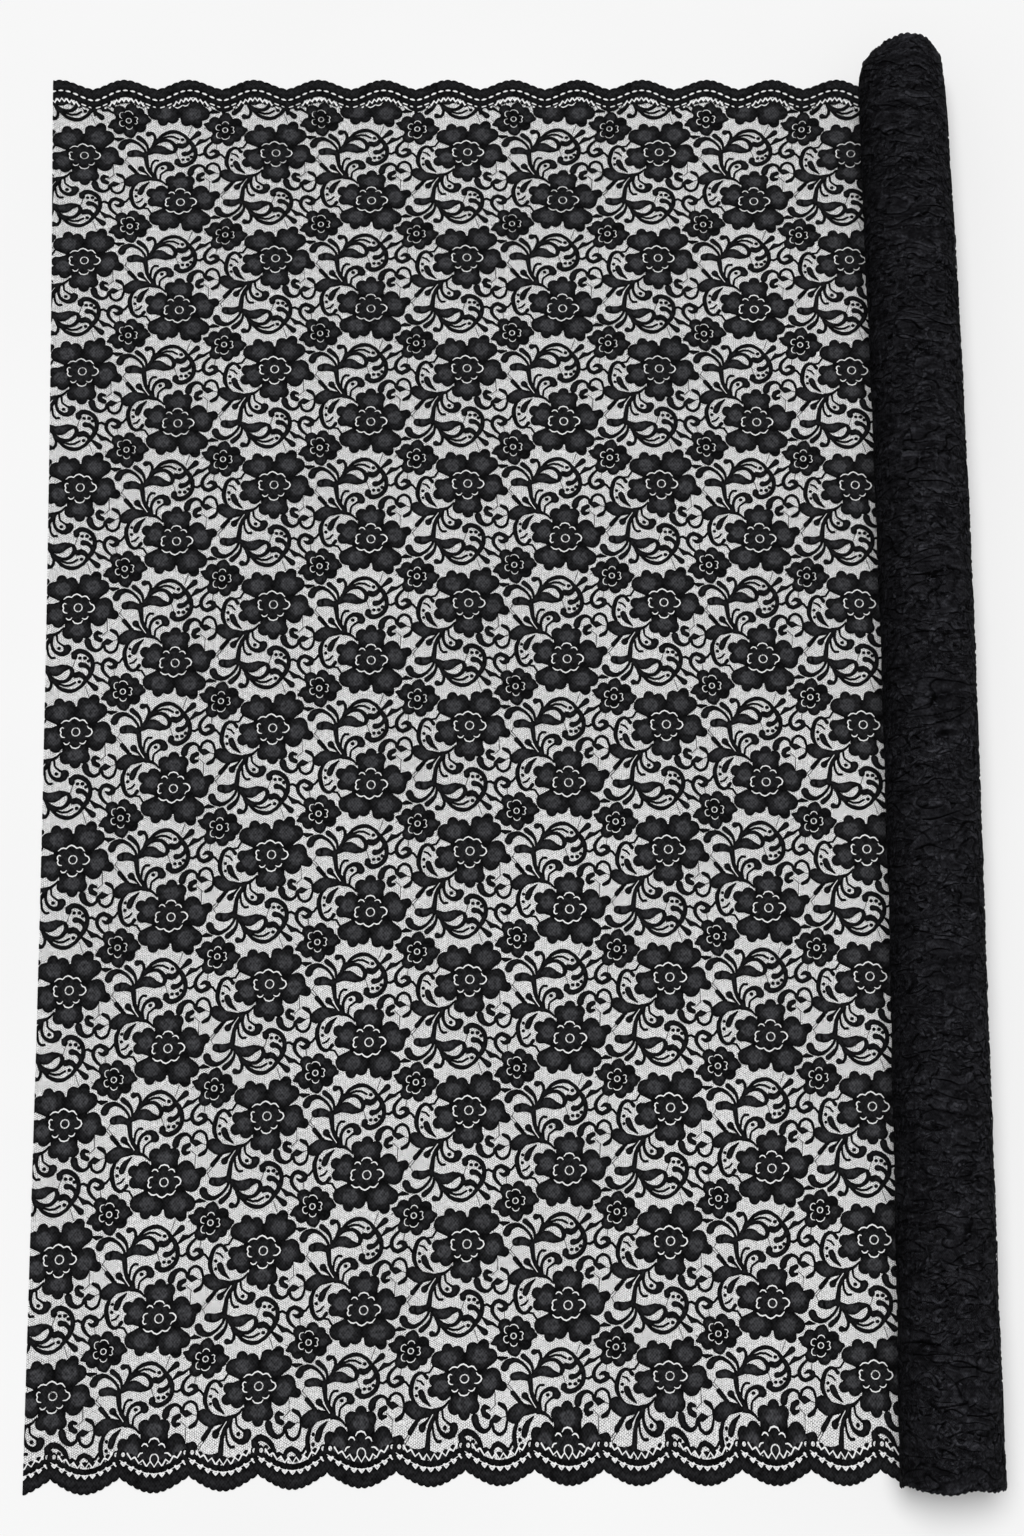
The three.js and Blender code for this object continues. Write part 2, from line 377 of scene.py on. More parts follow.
def hearts_at(points):
    """How far into a petal's thin heart each point lies, from 0 to 1."""
    deep = np.zeros(len(points))
    # Each kind of heart, where its flower lies, and how far in it goes at most.
    kinds = [
        (LARGE_HEARTS, (0, 0), 1), (SMALL_HEARTS, SMALL_FLOWER_AT, 0.06),
        (LEAF_HEARTS, (0, 0), 0.1), ([FLOWER_MIDDLE], (0, 0), 0.05),
    ]
    for hearts, at, most in kinds:
        for x, y, wide, high in hearts:
            for copy in COPIES:
                centre = placed(np.array([(x + at[0], y + at[1])], float), copy)
                off = (points - centre) / (wide, high)
                deep = np.maximum(deep, np.minimum(1 - np.hypot(*off.T), most))
    return np.clip(deep / FULLY_IN, 0, 1)


# From a motif's edge over its cord to the filling: the way in, the lace's height there, and
# how light it looks. The cord is darkest.
WAY_IN = [0, 0.45, 0.9, 1.5, 2.4, 4, 6]
HEIGHT = [0.05, 0.55, 0.75, 0.6, 0.42, 0.42, 0.42]
LIGHT = [0.04, 0.08, 0.13, 0.17, 0.23, 0.32, 0.41]
NET_STEP = 13  # between the net's own points, so that it can bend
SAME_POINT = 0.02  # points of a tile nearer than this are one


def cut_pieces(shapes, low, high, plain=False):
    """Fills a window of the lace with triangles, and tells what each is made of.

    A plain filling has only the open places, and a few more points so that it can bend.
    """
    corners = np.array([low, (high[0], low[1]), high, (low[0], high[1])])
    window = closely(corners, NET_STEP if plain else 2 * NET_STEP)
    low_reach, high_reach = low - RELIEF_REACH, high + RELIEF_REACH
    points, edges = [], []

    def add(outline, closed=True):
        near = ((outline > low_reach) & (outline < high_reach)).all(1)
        if not closed:
            points.extend(outline[near])
            return
        start, count = len(points), len(outline)
        points.extend(outline)
        for i in range(count):
            if near[i] or near[(i + 1) % count]:
                edges.append((start + i, start + (i + 1) % count))

    add(window)
    if plain:
        across, up = (
            np.linspace(a, b, int((b - a) / NET_STEP) + 2)[1:-1] for a, b in zip(low, high)
        )
        add(np.stack(np.meshgrid(across, up), 2).reshape(-1, 2), closed=False)
    for kind, outline, cord in shapes:
        if kind <= OPEN or not plain:
            add(outline)
        if cord is not None and not plain:
            add(cord, closed=False)
    points, edges = np.array(points), np.array(edges)
    wanted = ((points > low_reach) & (points < high_reach)).all(1)
    wanted[edges.ravel()] = True
    index = np.cumsum(wanted) - 1
    place, _, faces, *_ = delaunay_2d_cdt(
        [Vector(p) for p in points[wanted]], index[edges].tolist(), [], 0, SAME_POINT, False
    )
    place, faces = np.array([tuple(p) for p in place]), np.array(faces)
    middle = place[faces].mean(1)
    near = ((middle > low_reach) & (middle < high_reach)).all(1)
    faces, middle = faces[near], middle[near]
    a, b, c = (place[faces[:, i]] for i in range(3))
    turned = np.cross(b - a, c - a) < 0
    faces[turned] = faces[turned][:, ::-1]
    made_of = np.full(len(faces), NET)
    for kind, outline, _ in shapes:
        made_of[inside(middle, outline)] = kind
    return place, faces, made_of, ((middle > low) & (middle < high)).all(1)


def closely(outline, step):
    """An outline with points added along its long straight sides."""
    filled = []
    for a, b in zip(outline, np.roll(outline, -1, 0)):
        pieces = max(1, math.ceil(np.hypot(*(b - a)) / step))
        filled += [a + (b - a) * i / pieces for i in range(pieces)]
    return np.array(filled)


def relief(place, faces, dense):
    """How high the lace stands at each point, and how light it is, by its way in."""
    sides = np.concatenate([faces[:, [0, 1]], faces[:, [1, 2]], faces[:, [2, 0]]])
    filled = np.tile(dense, 3)
    key = np.sort(sides, 1) @ (len(place), 1)
    order = np.argsort(key, kind="stable")
    key, filled, sides = key[order], filled[order], sides[order]
    pair = np.flatnonzero(key[1:] == key[:-1])
    rim = sides[pair[filled[pair] != filled[pair + 1]]]
    a, b = place[rim[:, 0]], place[rim[:, 1]]
    along = b - a
    length = (along**2).sum(1)
    used = np.unique(faces[dense])
    away = np.zeros(len(place))
    for part in np.array_split(used, max(1, len(used) // 400)):
        off = place[part][:, None] - a
        share = np.clip((off * along).sum(2) / length, 0, 1)[..., None]
        away[part] = np.sqrt(((off - share * along) ** 2).sum(2).min(1))
    return np.interp(away, WAY_IN, HEIGHT), np.interp(away, WAY_IN, LIGHT)


def tile(shapes, low, high):
    """A window's motifs, each kind as points in millimetres, triangles and how light each is."""
    low, high = np.array(low, float), np.array(high, float)
    place, faces, made_of, within = cut_pieces(shapes, low, high)
    height, light = relief(place, faces, made_of > OPEN)
    thin = hearts_at(place)
    parts = {}
    for kind in (SPRAY, FLOWER, BORDER):
        chosen = faces[within & (made_of == kind)]
        used, renumbered = np.unique(chosen, return_inverse=True)
        points = np.column_stack([place, height])[used]
        lit = light if kind == BORDER else light + (1 - light) * thin
        parts[kind] = (points, renumbered.reshape(-1, 3), lit[used])
    place, faces, made_of, within = cut_pieces(shapes, low, high, plain=True)
    chosen = faces[within & (made_of != OPEN)]
    used, renumbered = np.unique(chosen, return_inverse=True)
    points = np.column_stack([place, 0 * place[:, 0]])[used]
    parts[NET] = (points, renumbered.reshape(-1, 3), 0 * used)
    return parts


# ---- The selvages ----------------------------------------------------------------------
# Both edges of the cloth are finished in scallops: a solid band edged with small loops,
# called picots, then a row of eyelets, a second band, and an open zigzag or a row of open
# teeth where the pattern begins. They are made in one with the cloth.

SCALLOP = REPEAT / 3
FAR, NEAR = 1, -1
# Each selvage's tips across the cloth, its scallops' depth and first notch, and its picots.
SELVAGES = {
    FAR: {"tip": 18.33, "depth": 11.9, "notch": -21.67, "round": 0.35, "picots": 9, "loop": 1.3},
    NEAR: {"tip": -29.67, "depth": 13.9, "notch": -34.67, "round": 0.9, "picots": 10, "loop": 1.5},
}
PAST_EDGE = 30  # the lace's repeat is cleared this far past the tips
EYELET_PITCH = SCALLOP / 9


def selvage_line(side, x, inward=0.0, loops=False):
    """How far up a selvage runs at x, or a line that runs inward from it."""
    s = SELVAGES[side]
    along = ((x - s["notch"]) / SCALLOP) % 1
    wave = 0.5 - 0.5 * np.cos(2 * np.pi * along)
    arch = np.sin(np.pi * along)
    rise = s["depth"] * (wave + (arch - wave) * s["round"] - 1)
    if loops:
        rise = rise + s["loop"] * (abs(np.sin(np.pi * s["picots"] * along)) ** 0.8 - 0.5)
    return s["tip"] + side * (rise - inward)


def along_selvage(side, points):
    """Points given as x and the way inward, or with a width too, brought to the selvage."""
    return [(x, float(selvage_line(side, x, inward)), *width) for x, inward, *width in points]


def band(side, outer, inner):
    """The outline between two lines that run along a selvage."""
    x = np.arange(-1.25 * HALF_REPEAT, 1.25 * HALF_REPEAT, 2.2)
    return np.vstack([
        np.column_stack([x, selvage_line(side, x, outer)]),
        np.column_stack([x, selvage_line(side, x, inner)])[::-1],
    ])


def beyond(side):
    """All that lies past the picots."""
    step = SCALLOP / SELVAGES[side]["picots"] / 5
    first = SELVAGES[side]["notch"] - 2 * SCALLOP
    x = first + step * np.arange(int(4.5 * SCALLOP / step))
    edge = np.column_stack([x, selvage_line(side, x, loops=True)])
    past = SELVAGES[side]["tip"] + side * PAST_EDGE
    cord = edge - (0, side * CORD_IN)
    return np.vstack([edge, [(x[-1], past), (x[0], past)]]), cord[::2]


def middles(side):
    """Where the scallops' tips lie, across a little more than one repeat."""
    first = SELVAGES[side]["notch"] + SCALLOP / 2
    return [first + i * SCALLOP for i in range(-2, 3)]


def worked(side, points):
    """A stroke of dense filling along a selvage."""
    return BORDER, *stroke(along_selvage(side, points))


def left_open(side, points):
    """An open stroke along a selvage."""
    return OPEN, stroke(along_selvage(side, points))[0], None


def far_selvage():
    """Slits in the band, an open zigzag with its cord, and beads, scallop by scallop."""
    shapes = [(BORDER, band(FAR, -2, 20.4), None)]
    for tip in middles(FAR):
        for i in range(-4, 5):
            x = tip + i * EYELET_PITCH
            shapes.append(left_open(FAR, [(x - 2, 12.9, 1.6), (x, 12.7, 2.6), (x + 2, 12.9, 1.6)]))
        zigzag = [(tip + 2.57 * i, 23.2 - 1.8 * (-1) ** i, 2.3) for i in range(-9, 10)]
        shapes.append(worked(FAR, [(x, inward + 2.5, 1.3) for x, inward, _ in zigzag]))
        shapes.append(left_open(FAR, zigzag))
        for i in (-4, -3, 3, 4):
            x = tip + i * EYELET_PITCH
            shapes.append(worked(FAR, [(x - 2.2, 21.3, 4.6), (x + 2.2, 21.3, 4.6)]))
            shapes.append(left_open(FAR, [(x - 1.9, 21.3, 1.7), (x + 1.9, 21.3, 1.7)]))
        for i in range(-3, 4):
            x = tip + 5.1 * i
            shapes.append(worked(FAR, [(x, 26.6, 2.6), (x + 0.4, 26.6, 2.6)]))
        valley = tip + SCALLOP / 2
        shapes.append(worked(FAR, [(valley, 20, 7), (valley, 25, 5), (valley, 29, 3)]))
    return shapes


# One eyelet of the near selvage, a small heart that points out of the cloth.
HEART_EYELET = np.array([
    (-3.42, 1.2), (-1.938, 2.3), (0, 1.4), (1.938, 2.3),
    (3.42, 1.2), (1.71, -0.9), (0, -2.4), (-1.71, -0.9),
])


def near_selvage():
    """Heart eyelets in the band, a chain of slits, portholes, dots and open teeth."""
    shapes = [(BORDER, band(NEAR, -2, 22.5), None)]
    for tip in middles(NEAR):
        for i in range(-4, 5):
            at = along_selvage(NEAR, [(tip + i * EYELET_PITCH, 15.4 - 0.25 * abs(i))])[0]
            shapes += [(OPEN, HEART_EYELET + at, None), (NET, HEART_EYELET * 0.5 + at, None)]
        chain = [(tip + i * EYELET_PITCH / 2, 16.9 - 0.13 * abs(i), 0.65) for i in range(-9, 10, 3)]
        shapes.append(left_open(NEAR, chain))
        for side in (-1, 1):
            at = along_selvage(NEAR, [(tip + side * 31.2, 22.4)])[0]
            shapes.append((BORDER, circle(*at, 3.6, 12), circle(*at, 2.9, 8)))
            shapes += [(OPEN, circle(*at, 2.0, 8), None), (NET, circle(*at, 1.5, 8), None)]
        for i in range(-3, 4):
            at = along_selvage(NEAR, [(tip + i * EYELET_PITCH, 26.2 - 0.4 * abs(i))])[0]
            shapes.append((BORDER, circle(*at, 3.0, 12), circle(*at, 2.1, 8)))
        teeth = [
            (tip + i * EYELET_PITCH / 2, 28.2 - 0.35 * abs(i) if i % 2 else 22.9, 1.6)
            for i in range(-7, 8)
        ]
        shapes.append(left_open(NEAR, teeth))
        valley = tip + SCALLOP / 2
        shapes.append(worked(NEAR, [(valley, 14, 9), (valley, 20, 7), (valley, 24.5, 4)]))
    return shapes


def selvage_tile(side, low, high):
    """A window of the cloth's edge: the flowers that reach it, and the selvage over them."""
    shapes = repeated(motif_shapes(), np.array(low), np.array(high))
    shapes += near_selvage() if side == NEAR else far_selvage()
    outline, cord = beyond(side)
    return tile([*shapes, (OPEN, outline, cord)], low, high)


# A row of flowers reaches from its foot to its top, as measured across the cloth from the
# middle of its upright flowers.
ROW_FOOT, ROW_TOP = -35.33, 96.67
ROW_MIDDLE = (ROW_FOOT + ROW_TOP) / 2
tile_low, tile_high = np.array([(-HALF_REPEAT / 2, ROW_FOOT), (HALF_REPEAT / 2, ROW_TOP)])
middle_tile = tile(repeated(motif_shapes(), tile_low, tile_high), tile_low, tile_high)
near_tile = selvage_tile(NEAR, (-HALF_REPEAT, -40.0), (HALF_REPEAT, ROW_TOP))
far_tile = selvage_tile(FAR, (-HALF_REPEAT, ROW_FOOT), (HALF_REPEAT, 30.0))

# ---- The lace as a repeat in its width and length --------------------------------------
# The loom works the same repeat over and over: along the cloth every second copy is
# flipped, and the rows follow each other across it.


def feed(socket, value):
    """Sets a socket to a value, or links it to a node or to one of a node's outputs."""
    if isinstance(value, bpy.types.Node):
        value = value.outputs[0]
    if isinstance(value, bpy.types.NodeSocket):
        socket.id_data.links.new(value, socket)
    else:
        socket.default_value = value


def node_in(tree, kind, settings=None, **inputs):
    """A node in a tree, with its settings, and with its inputs fed by their names."""
    node = tree.nodes.new(kind)
    for name, value in (settings or {}).items():
        setattr(node, name, value)
    for name, value in inputs.items():
        feed(node.inputs[name.replace("_", " ")], value)
    return node


VECTOR_MATH = "ShaderNodeVectorMath"


def reckon(operation, *values, kind="ShaderNodeMath", output=0):
    """A math node beside the nodes that feed it, in order. Gives its output."""
    tree = next(value.id_data for value in values if hasattr(value, "id_data"))
    node = node_in(tree, kind, {"operation": operation})
    for socket, value in zip(node.inputs, values):
        feed(socket, value)
    return node.outputs[output]


def node_group(name, kind, inputs, outputs):
    """An empty node group. Each input is given its kind of socket or, for a number, its value."""
    group = bpy.data.node_groups.new(name, kind)
    for label, value in inputs.items():
        number = not isinstance(value, str)
        socket_type = "NodeSocketFloat" if number else "NodeSocket" + value
        socket = group.interface.new_socket(label, in_out="INPUT", socket_type=socket_type)
        if number:
            socket.default_value = value
    for label, value in outputs.items():
        group.interface.new_socket(label, in_out="OUTPUT", socket_type="NodeSocket" + value)
    add = group.nodes.new
    return group, add("NodeGroupInput").outputs, add("NodeGroupOutput").inputs


def repeat_tree():
    """Geometry Nodes that lay a tile out in columns and rows, every other column flipped."""
    numbers = {"Columns": "Int", "Rows": "Int", "First column": "Int"}
    sizes = {"Column width": "Float", "Row height": "Float", "Flip": "Bool", "Material": "Material"}
    inputs = {"Geometry": "Geometry", **numbers, **sizes}
    tree, given, made = node_group(
        "lace repeat", "GeometryNodeTree", inputs, {"Geometry": "Geometry"}
    )
    tree.is_modifier = True
    count = reckon("MULTIPLY", given["Columns"], given["Rows"])
    number = node_in(tree, "GeometryNodeInputIndex")
    column = reckon("FLOOR", reckon("DIVIDE", number, given["Rows"]))
    column = reckon("ADD", column, given["First column"])
    row = reckon("MODULO", number, given["Rows"])
    along = reckon("MULTIPLY", column, given["Column width"])
    across = reckon("MULTIPLY", row, given["Row height"])
    where = node_in(tree, "ShaderNodeCombineXYZ", X=along, Y=across)
    places = node_in(tree, "GeometryNodeMeshLine", Count=count)
    spread = node_in(tree, "GeometryNodeSetPosition", Geometry=places, Position=where)
    even = reckon("SUBTRACT", 1, reckon("FLOORED_MODULO", column, 2))
    flip = reckon("MULTIPLY", even, given["Flip"])
    upright = reckon("SUBTRACT", 1, reckon("MULTIPLY", flip, 2))
    size = node_in(tree, "ShaderNodeCombineXYZ", X=1, Y=upright, Z=1)
    copies = node_in(
        tree, "GeometryNodeInstanceOnPoints", Points=spread, Instance=given["Geometry"], Scale=size
    )
    whole = node_in(tree, "GeometryNodeRealizeInstances", Geometry=copies)
    normal = node_in(tree, "GeometryNodeInputNormal")
    facing = node_in(tree, "ShaderNodeSeparateXYZ", Vector=normal)
    down = reckon("LESS_THAN", facing.outputs["Z"], 0)
    turned = node_in(tree, "GeometryNodeFlipFaces", Mesh=whole, Selection=down)
    coloured = node_in(
        tree, "GeometryNodeSetMaterial", Geometry=turned, Material=given["Material"]
    )
    feed(made["Geometry"], coloured)
    return tree


LACE_REPEAT = repeat_tree()


def new_mesh(name, points, faces, light):
    """A mesh of points, triangles and how light each point is."""
    mesh = bpy.data.meshes.new(name)
    mesh.vertices.add(len(points))
    mesh.vertices.foreach_set("co", np.asarray(points, np.float32).ravel())
    mesh.loops.add(3 * len(faces))
    mesh.loops.foreach_set("vertex_index", np.asarray(faces, np.int32).ravel())
    mesh.polygons.add(len(faces))
    mesh.polygons.foreach_set("loop_start", np.arange(0, 3 * len(faces), 3, dtype=np.int32))
    mesh.attributes.new("light", "FLOAT", "POINT").data.foreach_set("value", np.float32(light))
    mesh.update(calc_edges=True)
    return mesh


def read_mesh(mesh):
    """The points of a mesh, its triangles and how light each point is."""
    points = np.zeros(3 * len(mesh.vertices), np.float32)
    faces = np.zeros(3 * len(mesh.polygons), np.int32)
    light = np.zeros(len(mesh.vertices), np.float32)
    mesh.vertices.foreach_get("co", points)
    mesh.polygons.foreach_get("vertices", faces)
    mesh.attributes["light"].data.foreach_get("value", light)
    return points.reshape(-1, 3).astype(float), faces.reshape(-1, 3), light


def laid_out(part, **sizes):
    """A tile's part repeated over the cloth, as points, triangles and how light each is."""
    piece = bpy.data.objects.new("tile", new_mesh("tile", *part))
    bpy.context.scene.collection.objects.link(piece)
    modifier = piece.modifiers.new("repeat", "NODES")
    modifier.node_group = LACE_REPEAT
    for socket in LACE_REPEAT.interface.items_tree:
        if socket.name in sizes:
            modifier[socket.identifier] = sizes[socket.name]
    depsgraph = bpy.context.evaluated_depsgraph_get()
    mesh = bpy.data.meshes.new_from_object(piece.evaluated_get(depsgraph), depsgraph=depsgraph)
    data = read_mesh(mesh)
    bpy.data.objects.remove(piece)
    bpy.data.meshes.remove(mesh)
    return data


SEAM_REACH = 0.03  # points nearer than about this are one


def joined(*parts):
    """Several parts as one, with the points of their seams made one."""
    start = np.cumsum([0] + [len(points) for points, *_ in parts])
    points = np.vstack([points for points, *_ in parts])
    faces = np.vstack([faces + at for (_, faces, _), at in zip(parts, start)])
    light = np.concatenate([light for *_, light in parts])
    merged = np.round(points / SEAM_REACH)
    _, first, same = np.unique(merged, axis=0, return_index=True, return_inverse=True)
    faces = same.ravel()[faces]
    whole = (faces != np.roll(faces, 1, 1)).all(1)
    return points[first], faces[whole], light[first]


def trimmed(part, line, keep):
    """A part cut along a line, given as x for each y, keeping its right or left side."""
    points, faces, light = part
    shift = line(points[:, 1])
    mesh = new_mesh("trim", points - np.column_stack([shift, 0 * shift, 0 * shift]), faces, light)
    work = bmesh.new()
    work.from_mesh(mesh)
    geometry = [*work.verts, *work.edges, *work.faces]
    bmesh.ops.bisect_plane(
        work, geom=geometry, dist=0.002, plane_no=(-keep, 0, 0), clear_outer=True
    )
    bmesh.ops.triangulate(work, faces=[f for f in work.faces if len(f.verts) > 3])
    work.to_mesh(mesh)
    work.free()
    points, faces, light = read_mesh(mesh)
    bpy.data.meshes.remove(mesh)
    points[:, 0] += line(points[:, 1])
    return points, faces, light


ROWS = range(-4, 6)  # of flowers, between the two selvages' own


def woven(columns, material):
    """The lace over some columns of flowers, column 0 being the middle of a repeat."""
    made = {}
    grid = {
        "Material": material, "Columns": len(columns), "First column": columns[0], "Flip": True,
        "Rows": len(ROWS), "Column width": HALF_REPEAT, "Row height": ROW,
    }
    for kind in (NET, SPRAY, FLOWER):
        points, faces, light = middle_tile[kind]
        points, faces, light = laid_out((points - (0, ROW_MIDDLE, 0), faces, light), **grid)
        made[kind] = [(points + (0, ROWS[0] * ROW + ROW_MIDDLE - FLIP, 0), faces, light)]
    first = (columns[0] - 1) // 2
    pairs = (columns[-1] + 1) // 2 - first + 1
    grid.update({"Columns": pairs, "First column": first, "Flip": False, "Rows": 1})
    grid["Column width"] = REPEAT
    for edge, row in ((near_tile, ROWS[0] - 1), (far_tile, ROWS[-1] + 1)):
        for kind, part in edge.items():
            points, faces, light = laid_out(part, **grid)
            points = points + (HALF_REPEAT, row * ROW - FLIP, 0)
            made.setdefault(kind, []).append((points, faces, light))
    return {kind: joined(*parts) for kind, parts in made.items()}


# ---- The loose end ---------------------------------------------------------------------
# The cloth's first 0.9 m, drawn off the roll and laid flat beside it. Lace of black nylon
# and viscose thread, cut straight across at the left, and sheer between its motifs.

loose_low, loose_high = (1000 * np.array(corner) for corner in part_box("loose_length"))
CUT_LEAN = 14  # the cut runs this much further out at the far selvage
CUT_EDGE_X = loose_low[0] + CUT_LEAN
CUT_U = -445  # where the cut crosses the pattern at the near selvage
TIP_V = 749  # the far selvage's tips, across the cloth from its centre line
CORNER_SAG = 10.5  # the near selvage bows out towards the cut corner
NET_HEIGHT = 0.45  # of the net above the table
ROW_SPREAD = 0.9227  # the rows lie this much of their pitch apart at the far selvage
ROW_LOOSENING = 5.14e-5  # and a little more with each millimetre from it


def share(value, start, end):
    """How far a value has come from one to another, from 0 to 1."""
    return np.clip((value - start) / (end - start), 0, 1)


def across_table(v):
    """Where a place across the cloth comes to lie. The far rows lie a little closer together."""
    below = TIP_V - v
    return loose_high[1] - ROW_SPREAD * below - ROW_LOOSENING * below**2


def across_cloth(y):
    """The place across the cloth that comes to lie there."""
    root = np.sqrt(ROW_SPREAD**2 + 4 * ROW_LOOSENING * (loose_high[1] - y))
    return TIP_V - (root - ROW_SPREAD) / (2 * ROW_LOOSENING)


def lying(points):
    """The cloth's points brought to where it lies.

    Its rows drift a few millimetres, and its selvages are pulled a little longer than the
    pattern, the far one most.
    """
    u, v, up = points.T
    a, b = np.clip(u / 450, -1.1, 1.1), v / 750
    drifting = share(v, -735, -680) * share(v, 735, 670)
    x = CUT_EDGE_X + u - CUT_U + drifting * (2.5 - 6.2 * b - 7.3 * b**2 + 8 * b**3 + 3.6 * b**4)
    x += 0.031 * (u - 34) * np.exp((v - TIP_V) / 90) + 0.0063 * (u + 99) * np.exp((-750 - v) / 60)
    leaning = a * (4 - 8 * b + 6 * b**3) - 3.5 * a**2
    leaning = leaning + 4 * share(v, -722, -700) * np.exp(-((np.maximum(v + 712, 0) / 60) ** 2))
    y = across_table(v) + drifting * (leaning - 3 + 7 * b + 13 * b**2 - 14 * b**3 - 8 * b**4)
    y -= CORNER_SAG * share(u, 50, CUT_U) ** 1.3 * share(v, 100, -750) ** 1.5
    slack = 0.5 + 0.5 * np.sin(u / 47 + 1.1 * np.sin(v / 61)) * np.sin(v / 83 + np.sin(u / 70))
    return np.column_stack([x, y, NET_HEIGHT + up + 0.5 * slack])


def pattern_at(x, near_u):
    """Where a line across the table, given as x for each y, crosses the pattern near a u."""

    def line(v):
        guess = np.column_stack([near_u + 0 * v, v, 0 * v])
        return near_u + x(across_table(v)) - lying(guess)[:, 0]

    return line


# The wound roll's rings: how far along each lies, its centre, its radius and its height.
# Each ring is 60-sided, with a side at its top and at its left and right.
SIDE_IN = math.cos(math.pi / 60)
roll_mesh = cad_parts["lace_roll"].data
roll_points = 1000 * np.array([point.co for point in roll_mesh.vertices])
rings = []
for y in np.unique(roll_points[:, 1].round(1)):
    ring = roll_points[abs(roll_points[:, 1] - y) < 0.1]
    (left, _, _), (right, _, top) = ring.min(0), ring.max(0)
    radius = (right - left) / 2 / SIDE_IN
    rings.append((y, (left + right) / 2, radius, top - radius * SIDE_IN))
rings = np.array(rings)
DOME_START = rings[rings[:, 3].round(1).argmin(), 0]
TUCK_HEIGHT = 2  # the loose end goes out of sight where the roll is this far above the table


def girth(y):
    """The roll's centre, radius and height so far along it."""
    return tuple(np.interp(y, rings[:, 0], rings[:, i]) for i in (1, 2, 3))


def cut_edge(y):
    """The cut at the left, a slight curve."""
    return CUT_EDGE_X - CUT_LEAN * share(y, -383, 737) ** 2


def tucked_edge(y):
    """Where the cloth goes under the roll."""
    centre, radius, height = girth(np.minimum(y, DOME_START))
    return centre - np.sqrt(radius**2 - (height - TUCK_HEIGHT) ** 2)


def finished(name, part, place, material):
    """A piece of the lace, from its points in the cloth, and the place they come to."""
    points, faces, light = part
    mesh = new_mesh(name, place / 1000, faces, light)
    flat = np.float32(points[faces.ravel(), :2] / 1000).ravel()
    mesh.uv_layers.new(name="cloth").uv.foreach_set("vector", flat)
    mesh.polygons.foreach_set("use_smooth", np.ones(len(mesh.polygons), bool))
    mesh.materials.append(material)
    piece = bpy.data.objects.new(name, mesh)
    bpy.context.scene.collection.objects.link(piece)
    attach(piece, "root")
    return piece


def uneven(place, size, detail=2):
    """Values of about 0 to 1 that drift over the cloth, in patches of that size."""
    kind = "ShaderNodeTexNoise"
    node = node_in(place.id_data, kind, Vector=place, Scale=1 / size, Detail=detail)
    return node.outputs["Fac"]


def ramp(value, low, high, to_low=0.0, to_high=1.0):
    """A value brought from one range to another, and held within it."""
    kind = "ShaderNodeMapRange"
    node = node_in(value.id_data, kind, Value=value, From_Min=low, From_Max=high)
    feed(node.inputs["To Min"], to_low)
    feed(node.inputs["To Max"], to_high)
    return node.outputs["Result"]


def net_threads():
    """The net: threads round six-sided meshes, as a mask that is 1 on a thread."""
    inputs = {"Place": "Vector", "Mesh width": 0.0021, "Thread": 0.0}
    group, given, made = node_group("net threads", "ShaderNodeTree", inputs, {"Mask": "Float"})
    colours = uneven(given["Place"], 0.005, 1).node.outputs["Color"]
    drawn = (0.0024, 0.0024, 0)  # this far the meshes are drawn out of true
    place = reckon("MULTIPLY_ADD", colours, drawn, given["Place"], kind=VECTOR_MATH)
    waves = []
    for angle in (math.radians(degrees) for degrees in (0, 120, 240)):
        way = (math.cos(angle), math.sin(angle), 0)
        along = reckon("DOT_PRODUCT", place, way, kind=VECTOR_MATH, output="Value")
        turns = reckon("DIVIDE", along, given["Mesh width"])
        turns = reckon("MULTIPLY", turns, 4 * math.pi / math.sqrt(3))
        waves.append(reckon("COSINE", turns))
    pair = reckon("ADD", waves[0], waves[1])
    total = reckon("ADD", pair, waves[2])
    pair = reckon("MULTIPLY", waves[0], waves[1])
    product = reckon("MULTIPLY", pair, waves[2])
    depth = reckon("SUBTRACT", total, reckon("MULTIPLY", product, 0.444))
    depth = reckon("SUBTRACT", depth, given["Thread"])
    feed(made["Mask"], ramp(depth, -1.2, -1.32))
    return group


def thread_grain():
    """The dense filling's weave: a height for the bump, and how light each thread is."""
    inputs, outputs = {"Place": "Vector", "Pitch": 0.0032}, {"Height": "Float", "Light": "Float"}
    group, given, made = node_group("thread grain", "ShaderNodeTree", inputs, outputs)
    split = node_in(group, "ShaderNodeSeparateXYZ", Vector=given["Place"])
    waves = []
    for axis, stretch in (("X", 1.0), ("Y", 0.8)):
        turns = reckon("DIVIDE", split.outputs[axis], given["Pitch"])
        waves.append(reckon("SINE", reckon("MULTIPLY", turns, 2 * math.pi * stretch)))
    weave = ramp(reckon("MULTIPLY", *waves), -1, 1)
    rough = ramp(uneven(given["Place"], 0.0035, 3), 0.25, 0.75)
    height = reckon("ADD", reckon("MULTIPLY", weave, 0.5), rough)
    light = ramp(height, 0.3, 1.2, 0.35, 1.75)
    patch = ramp(uneven(given["Place"], 0.02), 0.3, 0.7, 0.85, 1.15)
    feed(made["Height"], height)
    feed(made["Light"], reckon("MULTIPLY", light, patch))
    return group


